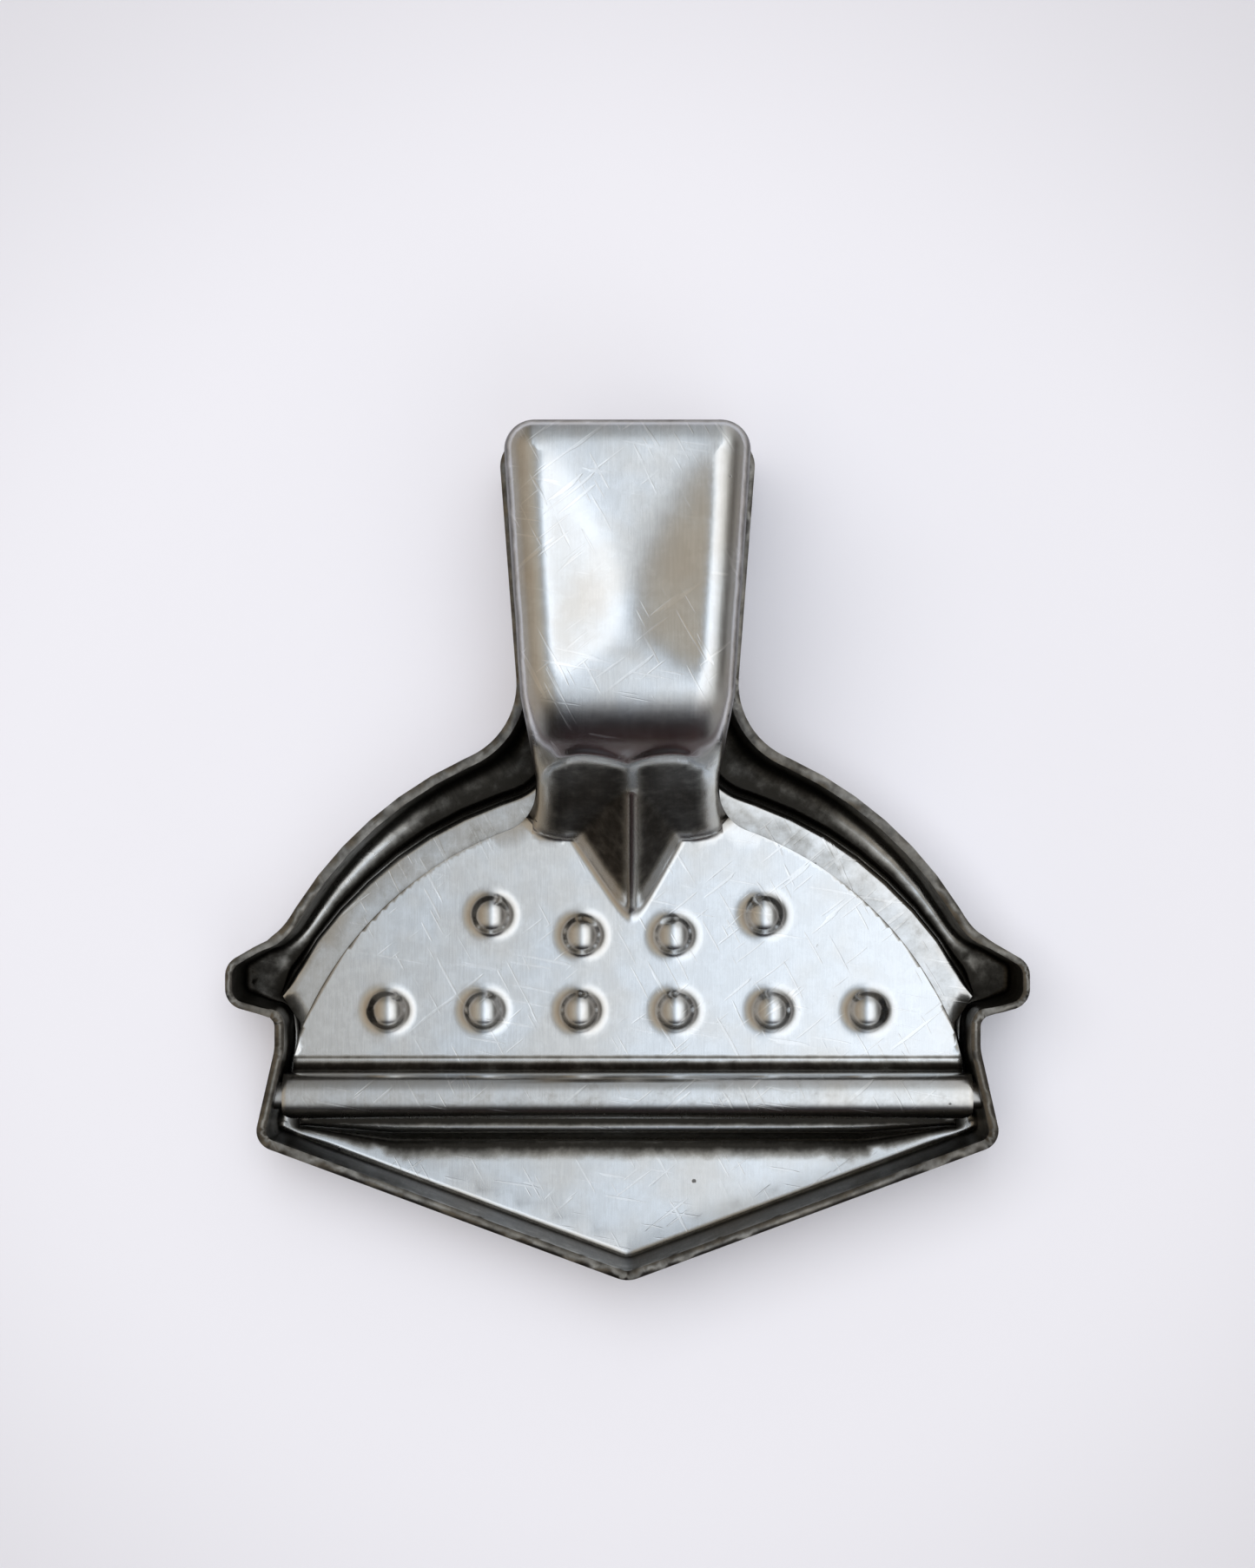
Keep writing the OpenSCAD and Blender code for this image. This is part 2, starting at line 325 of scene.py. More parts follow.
class Sheet:
    """One face of a pressed sheet, gathered from strips and filled regions."""

    def __init__(self):
        self.points = []
        self.faces = []
        self.uv = []
        self.thick = []
        self.stain_and_shade = []
        self.rim = []
        self.rim_dullness_and_shade = RIM_STAIN

    def ring(self, xy, z, uv, stain_and_shade, thick=1.0):
        """Adds points and gives their numbers."""
        first = len(self.points)
        n = len(xy)
        z = np.broadcast_to(z, (n,))
        self.points += [(p[0], p[1], h) for p, h in zip(xy, z)]
        self.uv += [tuple(c) for c in uv]
        self.thick += list(np.broadcast_to(thick, (n,)))
        self.stain_and_shade += list(np.broadcast_to(stain_and_shade, (n,)))
        return list(range(first, len(self.points)))

    def strip(self, a, b, closed=True):
        n = len(a)
        for i in range(n if closed else n - 1):
            j = (i + 1) % n
            self.faces.append((a[i], a[j], b[j], b[i]))

    def fill(self, ids, inner, height, stain_and_shade, holes=()):
        """Fills between the closed loop ids, the loops in holes and loose points."""
        loops = [ids] + list(holes)
        known = [i for loop in loops for i in loop]
        flat = np.array([self.points[i][:2] for i in known])
        edges, at = [], 0
        for loop in loops:
            n = len(loop)
            edges += [(at + i, at + (i + 1) % n) for i in range(n)]
            at += n
        if len(inner):
            known += self.ring(inner, height(inner), inner * MM, stain_and_shade(inner))
            flat = np.vstack([flat, inner])
        verts, _, tris, source, _, _ = delaunay_2d_cdt(
            [Vector(p) for p in flat], edges, [], 0, 1e-5)
        outer = flat[:len(ids)]
        centre = np.array([[sum(verts[v][k] for v in t) / 3 for k in (0, 1)] for t in tris])
        keep = inside(outer, centre)
        start = len(ids)
        for loop in holes:
            keep &= ~inside(flat[start:start + len(loop)], centre)
            start += len(loop)
        for t, good in zip(tris, keep):
            if good:
                self.faces.append(tuple(known[source[v][0]] for v in t))

    def build(self, name, up, sheet, edge, metal, shape=None):
        """The solid sheet as an object. up is a point of the face that looks upwards."""
        mesh = bpy.data.meshes.new(name)
        place = [(x * MM, y * MM + HINGE_Y, z * MM) for x, y, z in self.points]
        mesh.from_pydata(place, [], self.faces)
        layer = mesh.uv_layers.new(name="sheet")
        loops = np.zeros(len(mesh.loops), int)
        mesh.loops.foreach_get("vertex_index", loops)
        layer.data.foreach_set("uv", np.array(self.uv)[loops].ravel())
        obj = bpy.data.objects.new(name, mesh)
        bpy.context.scene.collection.objects.link(obj)
        mesh.materials.append(metal)
        turn_up(mesh, up)
        if shape:
            shape(obj)
        group = obj.vertex_groups.new(name="thickness")
        for i, w in enumerate(self.thick):
            group.add([i], float(w), "REPLACE")
        wall = obj.modifiers.new("wall", "SOLIDIFY")
        wall.thickness = sheet * MM
        wall.offset = -1
        wall.use_even_offset = True
        wall.use_quality_normals = True
        wall.vertex_group = "thickness"
        graph = bpy.context.evaluated_depsgraph_get()
        mesh = bpy.data.meshes.new_from_object(obj.evaluated_get(graph))
        obj.modifiers.remove(wall)
        obj.data = mesh
        # Per-vertex darkness for the material: grime and painted shade, with the cut edges set to the
        # rim value.
        layer = mesh.attributes.new("stain_and_shade", "FLOAT", "POINT")
        values = np.zeros(len(mesh.vertices))
        values[:len(self.stain_and_shade)] = self.stain_and_shade
        values[np.array(self.rim, int) + len(self.stain_and_shade)] = self.rim_dullness_and_shade
        layer.data.foreach_set("value", values)
        rim = obj.modifiers.new("rim", "BEVEL")
        rim.width = edge * MM
        rim.segments = 2
        rim.limit_method = "ANGLE"
        rim.angle_limit = math.radians(55)
        rim.harden_normals = False
        return obj


def turn_up(mesh, up):
    """Makes the faces agree, and the one nearest the point up look upwards."""
    bm = bmesh.new()
    bm.from_mesh(mesh)
    bmesh.ops.recalc_face_normals(bm, faces=bm.faces)
    spot = Vector((up[0] * MM, up[1] * MM + HINGE_Y, up[2] * MM))
    near = min(bm.faces, key=lambda f: (f.calc_center_median() - spot).length)
    if near.normal.z < 0:
        bmesh.ops.reverse_faces(bm, faces=bm.faces)
    for f in bm.faces:
        f.smooth = True
    bm.to_mesh(mesh)
    bm.free()


def honeycomb(low, high, gap):
    """Evenly spread points over a rectangle."""
    rows = np.arange(low[1], high[1], gap * math.sqrt(0.75))
    out = []
    for k, y in enumerate(rows):
        x = np.arange(low[0] + (k % 2) * gap / 2, high[0], gap)
        out.append(np.stack([x, np.full(len(x), y)], axis=1))
    return np.vstack(out)


# ---- Juice tray ----

def tray_corners():
    way = np.array([-math.cos(SPOUT_SLOPE), math.sin(SPOUT_SLOPE)])
    top = (SPOUT_HALF, SPOUT_HIGH_Y)
    k = hit_circle(BOWL_Y, BOWL_R, top, way, False)
    a = math.atan2(k[1] - BOWL_Y, k[0]) + math.radians(4)
    root = (LOWER_ROOT_HALF, BOWL_Y + BOWL_R)
    side = unit(np.array([LOWER_TIP_HALF, LOWER_TIP_Y]) - root)
    k = hit_circle(BOWL_Y, BOWL_R, root, side, True)
    b = math.atan2(k[1] - BOWL_Y, k[0]) - math.radians(8.8)
    low = meet(on_circle(BOWL_Y, BOWL_R, a), (-math.sin(a), math.cos(a)), top, way)
    high = meet(on_circle(BOWL_Y, BOWL_R, b), (-math.sin(b), math.cos(b)), root, side)
    return both_sides([
        (0, NOSE_Y, 3),
        (SHOULDER[0], SHOULDER[1], 2),
        (NECK_HALF, NECK_Y, 5),
        (NECK_HALF, LIP_Y, 1.1),
        (SPOUT_HALF, SPOUT_LOW_Y, 2.1),
        (SPOUT_HALF, SPOUT_HIGH_Y, 2.1),
        (low[0], low[1], 7),
        arc_corner(BOWL_Y, BOWL_R, a, b),
        (high[0], high[1], 8),
        (LOWER_TIP_HALF, LOWER_TIP_Y, 3.2),
    ])


def anvil_corners():
    tip_half = TONGUE_HALF + LOWER_TIP_HALF - LOWER_ROOT_HALF
    a = math.asin((11.0 - ANVIL_Y) / ANVIL_R)
    root = (TONGUE_HALF, ANVIL_Y + ANVIL_R)
    side = unit(np.array([tip_half, LOWER_TIP_Y - GUTTER]) - root)
    k = hit_circle(ANVIL_Y, ANVIL_R, root, side, True)
    b = math.atan2(k[1] - ANVIL_Y, k[0]) - math.radians(8.8)
    high = meet(on_circle(ANVIL_Y, ANVIL_R, b), (-math.sin(b), math.cos(b)), root, side)
    return both_sides([
        (ANVIL_HALF, ANVIL_FRONT, 0),
        (ANVIL_HALF, 7.2, 0.4),
        (*EAR, 0.25),
        arc_corner(ANVIL_Y, ANVIL_R, a + 0.03, b),
        (high[0], high[1], 6),
        (tip_half, LOWER_TIP_Y - GUTTER, 3.2),
    ])


def edge_profile(h, top_r, foot_r, slope, steps):
    """Section of a pressed step: (0..1 across, height left) from its top to its foot."""
    run = (top_r + foot_r) * math.sin(slope)
    drop = (top_r + foot_r) * (1 - math.cos(slope))
    run += (h - drop) / math.tan(slope)
    out = []
    for k in range(steps + 1):
        a = slope * k / steps
        out.append((top_r * math.sin(a), h - top_r * (1 - math.cos(a))))
    for k in range(steps + 1):
        a = slope * (1 - k / steps)
        out.append((run - foot_r * math.sin(a), foot_r * (1 - math.cos(a))))
    return [(x / run, z) for x, z in out]


def lengths(p):
    step = np.linalg.norm(np.roll(p, -1, axis=0) - p, axis=1)
    return np.concatenate([[0], np.cumsum(step)[:-1]])


def floor_stain_and_shade(p):
    """How dark the floor is: clean in the nose, darker in the gutter and in the spouts with grime and
    painted shade in the recess, and painted shade on the lower handle under the upper one.
    """
    x, y = np.abs(p[:, 0]), p[:, 1]
    out = 0.27 * smooth(y, ANVIL_FRONT - 3.2, ANVIL_FRONT - 2.4)
    out += 0.6 * smooth(x, 34, 36.5) * smooth(y, 5, 8)
    out += 0.6 * smooth(y, 26, 33)
    return np.minimum(out, 1)


def platform_stain_and_shade(p):
    """The anvil's top is dull and a little darker toward the handle, with painted shadow under the
    barrel and painted shade at the handle's root.
    """
    y = p[:, 1]
    root = smooth(y, 30, 34) * (1 - smooth(y, 40, 46))
    return 0.2 + 0.14 * smooth(y, 16, 30) + 0.8 * (1 - smooth(y, -1.5, 2.5)) + 0.5 * root


def juice_tray():
    sheet = Sheet()
    outer = rounded(tray_corners())
    anvil = rounded(anvil_corners())
    x, y = np.abs(outer[:, 0]), outer[:, 1]
    drawn = smooth(x, 35.6, 36.6) * smooth(y, 6.5, 8.3) * (1 - smooth(y, 17, 21))
    wall = SHEET + (THIN_SHEET - SHEET) * drawn
    room = away(anvil, outer) - wall
    share = np.where(y < ANVIL_FRONT, 0.38, 0.48)
    share = np.where((y < 8.9) & (y > -1.5), 0.36, share)
    lean = np.minimum(share * room * 0.3, DRAFT)
    foot = np.clip(share * room - lean, 0.12, CREASE_R)
    corner = np.exp(-((x - SHOULDER[0]) ** 2 + (y - SHOULDER[1]) ** 2) / 18)
    tip = smooth(y, 48, 56)
    pinch = 1.65 * corner + (CREASE_R - TIGHT_R) * drawn + 1.1 * tip
    foot = np.minimum(foot, CREASE_R - pinch)
    front = 1 - smooth(y, -5.5, -3.5)
    foot = np.minimum(foot, CREASE_R - (CREASE_R - TIGHT_R) * front)
    lean = lean * (1 - 0.7 * front)
    run = lengths(outer) * MM

    grime_and_shade = floor_stain_and_shade(outer)
    # The inner walls and their crease into the floor get painted shade, darker towards the foot of
    # the wall, full by the bowl and along the lower handle, lighter on the walls from y 18 to 26; the
    # fillet fades into the floor's value.
    black = np.clip(1 - smooth(y, 12, 18) + smooth(y, 26, 33), 0, 1)

    def loop(depth, z, stain_and_shade):
        down = np.broadcast_to(WALL_H - z, (len(run),)) * MM
        uv = np.stack([run, down], axis=1)
        return sheet.ring(moved(outer, depth), z, uv, stain_and_shade, wall / SHEET)

    last = loop(wall, WALL_H, RIM_STAIN)
    sheet.rim += last
    for k in range(1, 9):
        t = k / 8
        stain_and_shade = 0.5 + 0.3 * black + 0.2 * t
        ids = loop(wall + lean * t, WALL_H + (SHEET + foot - WALL_H) * t, stain_and_shade)
        sheet.strip(last, ids)
        last = ids
    for k in range(1, 7):
        a = math.radians(15 * k)
        inset = wall + lean + foot * (1 - math.cos(a))
        stain_and_shade = 0.7 + 0.3 * black
        stain_and_shade = stain_and_shade + (grime_and_shade - stain_and_shade) * (k / 6) ** 0.6
        ids = loop(inset, SHEET + foot * (1 - math.sin(a)), stain_and_shade)
        sheet.strip(last, ids)
        last = ids
    floor_loop = last

    middle = (anvil + np.roll(anvil, -1, axis=0)) / 2
    mx, my = np.abs(middle[:, 0]), middle[:, 1]
    room = away(outer, middle) - SHEET
    flank = (mx > ANVIL_HALF - 0.3) & (my < 8.2)
    front = my < ANVIL_FRONT + 0.05
    out = np.clip(0.25 * room, 0.12, 0.9)
    out = np.where(flank, np.minimum(out, 0.3), out)
    out = np.where(front, np.clip(0.56 * room - 0.2, 0.3, RAMP), out)
    back = np.where(front, 0.1, np.minimum(out, 0.7))
    run = lengths(anvil) * MM
    sharp = np.zeros(len(anvil))
    for cx, cy in ((ANVIL_HALF, ANVIL_FRONT), EAR):
        far = np.hypot(np.abs(anvil[:, 0]) - cx, anvil[:, 1] - cy)
        sharp = np.maximum(sharp, 1 - smooth(far, 0.6, 3.2))
    rings = []
    for across, z in edge_profile(ANVIL_H - SHEET, EDGE_TOP_R, EDGE_FOOT_R, EDGE_SLOPE, 6):
        at = moved(anvil, back - across * (back + out))
        down = np.full(len(run), z * MM)
        uv = np.stack([run, down], axis=1)
        low = 1 - z / (ANVIL_H - SHEET)
        # The anvil's side is painted darker down towards its foot: painted shade in the gutter.
        stain_and_shade = 0.2 + 0.78 * smooth(low, 0.2, 0.7)
        ramp = np.interp(low, [at for at, _ in RAMP_PAINTED_SHADE], [dark for _, dark in RAMP_PAINTED_SHADE])
        stain_and_shade = np.where(anvil[:, 1] < ANVIL_FRONT + 0.05, ramp, stain_and_shade)
        rings.append(sheet.ring(at, SHEET + z, uv, stain_and_shade, 1 - 0.85 * sharp))
    for a, b in zip(rings, rings[1:]):
        sheet.strip(a, b)

    grid = honeycomb((-40, -20), (40, 70), GRID)
    edge = np.array([sheet.points[i][:2] for i in rings[-1]])
    outer_floor = np.array([sheet.points[i][:2] for i in floor_loop])
    loose = grid[inside(outer_floor, grid) & ~inside(edge, grid)]
    loose = loose[(away(outer_floor, loose) > 0.5) & (away(edge, loose) > 0.5)]
    level = np.full(len(loose), SHEET)
    sheet.fill(floor_loop, loose, lambda p: level, floor_stain_and_shade, holes=[rings[-1]])
    top = np.array([sheet.points[i][:2] for i in rings[0]])
    loose = grid[inside(top, grid)]
    loose = loose[away(top, loose) > 0.5]
    level = np.full(len(loose), ANVIL_H)
    sheet.fill(rings[0], loose, lambda p: level, platform_stain_and_shade)
    return sheet.build("tray_sheet", (0, -12, SHEET), SHEET, 0.12, TRAY_STEEL)


# ---- Press ----

def riser_line():
    """The press's top line from the plate over the riser to the tip, as (y, z)."""
    rise = UPPER_H - PLATE_TOP
    start = (FOOT_Y - 9, PLATE_TOP - 9 * math.tan(RISER_SLOPE), 0)
    crest = (FOOT_Y + rise / math.tan(RISER_SLOPE), UPPER_H, BEND_R)
    end = (UPPER_TIP_Y + 5, UPPER_H, 0)
    line = [start[:2], *round_corner(start, crest, end, math.radians(3)), end[:2]]
    return np.array([tuple(p) for p in line])


RISER_LINE = riser_line()


def riser_half(y):
    """Half width of the riser and the upper handle."""
    return np.interp(y, [at for at, _ in WAIST], [half for _, half in WAIST])


def handle_outline():
    """The riser and upper handle from above, open at the foot."""
    tip = rounded([
        (-riser_half(50), 50, 0),
        (riser_half(50), 50, 0),
        (riser_half(UPPER_TIP_Y), UPPER_TIP_Y, 2.9),
        (-riser_half(UPPER_TIP_Y), UPPER_TIP_Y, 2.9),
    ], math.radians(6), 0.5)
    tip = tip[(tip[:, 1] > 50.01) & (tip[:, 0] >= 0)]
    tip = tip[np.argsort(np.arctan2(tip[:, 1] - 50, tip[:, 0]))]
    ys = np.arange(FOOT_Y - 3, 50.01, 0.5)
    side = np.stack([riser_half(ys), ys], axis=1)
    right = np.vstack([side, tip])
    left = right[::-1] * (-1, 1)
    return np.vstack([right, left])


HANDLE = handle_outline()


def arch_line(x):
    """Where the bend of the handle ends on the riser, as Y over the distance from the middle."""
    return 34.3 - np.where(x < 4.3, 1.1 * (1 - x / 4.3) ** 2, 1.9 * ((x - 4.3) / 4.2) ** 2)


def handle_height(p):
    """Height of the riser and handle, with its rounded edges and its dish."""
    x, y = np.abs(p[:, 0]), p[:, 1]
    z = np.interp(y, RISER_LINE[:, 0], RISER_LINE[:, 1])
    d = away(HANDLE, p, closed=False)
    d = np.where(inside(HANDLE, p), d, 0)
    lip = EDGE_DROP * (1 + 0.5 * smooth(-y, -36, -30))
    across = np.clip(1 - (d - EDGE_DRAFT) / EDGE_R, 0, 1)
    z = z - lip * (1 - np.sqrt(1 - np.minimum(across, 0.9998) ** 2))
    low = np.interp(y, [FOOT_Y, 34, 42, 70], [8, 7.5, 4.2, 3.8])
    z = z - (low - lip) * np.clip(1 - d / EDGE_DRAFT, 0, 1)
    z = z + 0.4 * np.exp(-((y - arch_line(x)) / 0.5) ** 2)
    hollow = np.exp(-((x - 5.6) / 2.6) ** 2) * np.exp(-((y - 31.2) / 1.9) ** 2)
    return z - 0.9 * hollow - dish_depth(p)


def dish_depth(p):
    """Depth of the thumb dish: a long ramp from the tip, two sides and a short near end."""
    x, y = p[:, 0], p[:, 1]
    half = DISH_HALF + (y - 52) * 0.04
    slopes = ((DISH_HIGH - y) * 0.105, (y - DISH_LOW) * 0.27, (half - x) * 0.19, (half + x) * 0.19)
    total = np.exp(-DISH_DEPTH / 0.2)
    for part in slopes:
        total = total + np.exp(-np.clip(part, -3, 9) / 0.2)
    return 0.1 * np.log1p(np.exp(-0.2 * np.log(total) / 0.1))


def gusset_height(p):
    """Height of the pyramid that props the riser; its ridge runs a little off the middle."""
    slope = GUSSET_TOP[1] / (GUSSET_TOP[0] - GUSSET_TIP_Y)
    along = p[:, 1] - GUSSET_TIP_Y
    x = p[:, 0] - GUSSET_X
    half = np.where(x < 0, GUSSET_HALF + GUSSET_X, GUSSET_HALF - GUSSET_X)
    side = slope * (FOOT_Y + 0.3 - GUSSET_TIP_Y) / half
    ridge = np.sqrt(x ** 2 + 0.8 ** 2) - 0.8 * 0.6
    return PLATE_TOP + slope * along - side * ridge


def press_height(p):
    base = np.full(len(p), PLATE_TOP)
    base -= 0.12 * np.exp(-((p[:, 1] - PLATE_FRONT - 0.9) / 0.6) ** 2)
    up = handle_height(p)
    z = soft_max(base, up, 0.9)
    z = np.where(p[:, 1] > FOOT_Y + 4, up, z)
    prop = np.where(p[:, 1] > 36, -50, gusset_height(p))
    return soft_max(z, prop, 0.7)


def press_painted_shade(p):
    """How dark the press is painted: painted shade on the riser's steep face and in its corners, less
    on the gusset's ridge and the bend's crest, and along its rounded edges.
    """
    x, y = np.abs(p[:, 0]), p[:, 1]
    z = press_height(p)
    d = np.where(inside(HANDLE, p), away(HANDLE, p, closed=False), 0)
    ridge = 1 - 0.9 * np.exp(-((p[:, 0] - GUSSET_X) / 0.75) ** 2)
    rise = 1 - smooth(np.abs(y - arch_line(x)), 0.35, 0.9)
    low = smooth(z, PLATE_TOP + 0.7, PLATE_TOP + 2.2) * (1 - smooth(z, 19.5, 22)) * ridge
    low = low * np.where(y < FOOT_Y, 1, smooth(d, 0.9, 2.6)) * (1 - 0.8 * rise)
    edge = 0.85 * (1 - smooth(d, 0.15, 0.8)) * smooth(y, FOOT_Y + 1, FOOT_Y + 3)
    return np.clip(np.maximum(0.85 * low * (y > GUSSET_TIP_Y), edge), 0, 1)


def press_outline():
    """Plan of the press from the roll round the plate, the riser and the handle."""
    half = [(PLATE_EDGE, PLATE_FRONT)]
    a = math.asin((PLATE_FRONT + 2.5 - ANVIL_Y) / PLATE_R)
    b = math.acos(12.0 / PLATE_R)
    for k in range(61):
        half.append(tuple(on_circle(ANVIL_Y, PLATE_R, a + (b - a) * k / 60)))
    root = np.array([riser_half(FLARE_Y), FLARE_Y])
    start = on_circle(ANVIL_Y, PLATE_R, b)
    bend = np.array([riser_half(28.2) + 0.25, 27.7])
    for k in range(1, 10):
        t = k / 10
        half.append(tuple(start * (1 - t) ** 2 + 2 * bend * t * (1 - t) + root * t * t))
    rest = HANDLE[(HANDLE[:, 0] > 0) & (HANDLE[:, 1] > FLARE_Y)]
    half += [tuple(q) for q in rest]
    return np.array(half)


def press_sheet():
    sheet = Sheet()
    half = press_outline()
    count = 136
    front = np.linspace(-PLATE_EDGE, PLATE_EDGE, count + 1)
    left = half[::-1] * (-1, 1)
    rim = np.vstack([half, left])
    front_line = np.stack([front[1:-1], np.full(count - 1, PLATE_FRONT)], axis=1)
    outline = np.vstack([rim, front_line])
    # Along the plate's edge, up to y 20 to 24, and on all the press's cut edges, the sheet is painted
    # dark: painted shadow in the gap over the anvil.
    stain_and_shade = np.maximum(press_painted_shade(outline), 0.7 * (1 - smooth(outline[:, 1], 20, 24)))
    ids = sheet.ring(outline, press_height(outline), outline * MM, stain_and_shade)
    sheet.rim += ids
    sheet.rim_dullness_and_shade = 1.0

    grid = honeycomb((-36, PLATE_FRONT), (36, 68), PLATE_GRID)
    fine = honeycomb((-11, FOOT_Y - 9), (11, FOOT_Y + 9), FOOT_GRID)
    zone = (np.abs(grid[:, 0]) < 11) & (np.abs(grid[:, 1] - FOOT_Y) < 9)
    loose = np.vstack([grid[~zone], fine])
    rows = []
    for d in (0.2, 0.32, 0.48, 0.66, 0.9, 1.2, 1.6, 2.1, 2.7, 3.3):
        rows.append(moved(HANDLE, d)[1:-1])
    bands = np.vstack(rows)
    bands = bands[bands[:, 1] > FOOT_Y - 1]
    near = (away(HANDLE, loose, closed=False) < 3.5) & (loose[:, 1] > FOOT_Y - 1)
    loose = np.vstack([loose[~near], bands])
    loose = loose[inside(outline, loose)]
    loose = loose[away(outline, loose) > 0.12]
    for cx, cy in stud_places():
        far = np.linalg.norm(loose - (cx, cy), axis=1)
        loose = loose[far > STUD_ROOM]
        rings = [(cx, cy)]
        for k in range(1, 13):
            r = 0.26 * k
            turns = 6 * k if k < 7 else 40
            for j in range(turns):
                w = 2 * math.pi * j / turns
                rings.append((cx + r * math.cos(w), cy + r * math.sin(w)))
        loose = np.vstack([loose, rings])
    sheet.fill(ids, loose, press_height, press_painted_shade)

    row = [ids[0]] + ids[len(rim):][::-1] + [ids[len(rim) - 1]]
    xs = np.concatenate([[PLATE_EDGE], front[1:-1][::-1], [-PLATE_EDGE]]) / PLATE_EDGE
    bend = PIN_Z - PLATE_TOP
    profile = []
    for k in range(1, 11):
        a = math.radians(9 * k)
        profile.append((PLATE_FRONT - bend * math.sin(a), PIN_Z - bend * math.cos(a), PLATE_EDGE))
    for k in range(1, 55):
        a = math.radians(6 * k)
        widen = smooth(a, 0, 0.35)
        taper = smooth(a, 2.3, 3.4)
        half = PLATE_EDGE + (BARREL_HALF - PLATE_EDGE) * widen - 1.6 * taper
        profile.append((BARREL_R * math.cos(a), PIN_Z + BARREL_R * math.sin(a), half))
    last, gone = row, 0
    before = (PLATE_FRONT, PLATE_TOP)
    for y, z, half in profile:
        gone += math.hypot(y - before[0], z - before[1])
        before = (y, z)
        at = np.stack([xs * half, np.full(len(xs), y)], axis=1)
        uv = np.stack([xs * half, np.full(len(xs), PLATE_FRONT - gone)], axis=1) * MM
        stain_and_shade = np.interp(gone, [at for at, _ in ROLL_PAINTED_SHADE], [dark for _, dark in ROLL_PAINTED_SHADE])
        now = sheet.ring(at, z, uv, stain_and_shade)
        sheet.strip(last, now, closed=False)
        last = now
    return sheet.build("press_sheet", (20, 12, PLATE_TOP), PRESS_SHEET, 0.1, PRESS_STEEL, raise_studs)


def raise_studs(obj):
    """Lifts the plate into a round dome at every stud place, with geometry nodes."""
    tree = bpy.data.node_groups.new("stud_field", "GeometryNodeTree")
    face = tree.interface
    face.new_socket("Sheet", in_out="INPUT", socket_type="NodeSocketGeometry")
    face.new_socket("Raised", in_out="OUTPUT", socket_type="NodeSocketGeometry")
    ids = {}
    for title, kind in (
        ("Pitch", "NodeSocketFloat"),
        ("Front count", "NodeSocketInt"),
        ("Front start", "NodeSocketVector"),
        ("Back starts", "NodeSocketVector"),
        ("Back gap", "NodeSocketVector"),
        ("Stud height", "NodeSocketFloat"),
        ("Stud radius", "NodeSocketFloat"),
        ("Unevenness", "NodeSocketFloat"),
        ("Seed", "NodeSocketInt"),
        ("Steel", "NodeSocketMaterial"),
    ):
        ids[title] = face.new_socket(title, in_out="INPUT", socket_type=kind).identifier
    nodes, links = tree.nodes, tree.links
    start = nodes.new("NodeGroupInput")
    end = nodes.new("NodeGroupOutput")

    def row(count, first, step):
        line = nodes.new("GeometryNodeMeshLine")
        line.mode = "OFFSET"
        for socket, value in (("Count", count), ("Start Location", first), ("Offset", step)):
            if isinstance(value, bpy.types.NodeSocket):
                links.new(value, line.inputs[socket])
            else:
                line.inputs[socket].default_value = value
        return line.outputs["Mesh"]

    step = nodes.new("ShaderNodeCombineXYZ")
    links.new(start.outputs["Pitch"], step.inputs["X"])
    front = row(start.outputs["Front count"], start.outputs["Front start"], step.outputs[0])
    back = row(2, start.outputs["Back starts"], start.outputs["Back gap"])
    mirror = nodes.new("ShaderNodeVectorMath")
    mirror.operation = "MULTIPLY"
    mirror.inputs[1].default_value = (-1, 1, 1)
    spots = nodes.new("GeometryNodeSetPosition")
    place = nodes.new("GeometryNodeInputPosition")
    links.new(back, spots.inputs["Geometry"])
    links.new(place.outputs[0], mirror.inputs[0])
    links.new(mirror.outputs[0], spots.inputs["Position"])
    field = nodes.new("GeometryNodeJoinGeometry")
    for mesh in (front, back, spots.outputs[0]):
        links.new(mesh, field.inputs[0])

    near = nodes.new("GeometryNodeProximity")
    near.target_element = "POINTS"
    links.new(field.outputs[0], near.inputs["Geometry"])
    index = nodes.new("GeometryNodeSampleNearest")
    index.domain = "POINT"
    links.new(field.outputs[0], index.inputs["Geometry"])
    chance = nodes.new("FunctionNodeRandomValue")
    chance.data_type = "FLOAT"
    links.new(index.outputs[0], chance.inputs["ID"])
    links.new(start.outputs["Seed"], chance.inputs["Seed"])

    def maths(kind, a, b=None):
        node = nodes.new("ShaderNodeMath")
        node.operation = kind
        for k, value in enumerate((a, b)):
            if isinstance(value, bpy.types.NodeSocket):
                links.new(value, node.inputs[k])
            elif value is not None:
                node.inputs[k].default_value = value
        return node.outputs[0]

    spread = maths("SUBTRACT", chance.outputs[1], 0.5)
    tall = maths("MULTIPLY", spread, start.outputs["Unevenness"])
    tall = maths("MULTIPLY", start.outputs["Stud height"], maths("ADD", tall, 1.0))
    far = maths("DIVIDE", near.outputs["Distance"], start.outputs["Stud radius"])
    curve = nodes.new("ShaderNodeFloatCurve")
    points = curve.mapping.curves[0].points
    points[0].location = (0, 1)
    points[1].location = (1, 0)
    for at in STUD_SECTION:
        points.new(*at)
    curve.mapping.update()
    links.new(far, curve.inputs["Value"])
    lift = nodes.new("ShaderNodeCombineXYZ")
    links.new(maths("MULTIPLY", curve.outputs[0], tall), lift.inputs["Z"])
    raised = nodes.new("GeometryNodeSetPosition")
    links.new(start.outputs["Sheet"], raised.inputs["Geometry"])
    links.new(lift.outputs[0], raised.inputs["Offset"])
    real = nodes.new("GeometryNodeRealizeInstances")
    links.new(raised.outputs[0], real.inputs[0])
    paint = nodes.new("GeometryNodeSetMaterial")
    links.new(real.outputs[0], paint.inputs["Geometry"])
    links.new(start.outputs["Steel"], paint.inputs["Material"])
    links.new(paint.outputs[0], end.inputs[0])

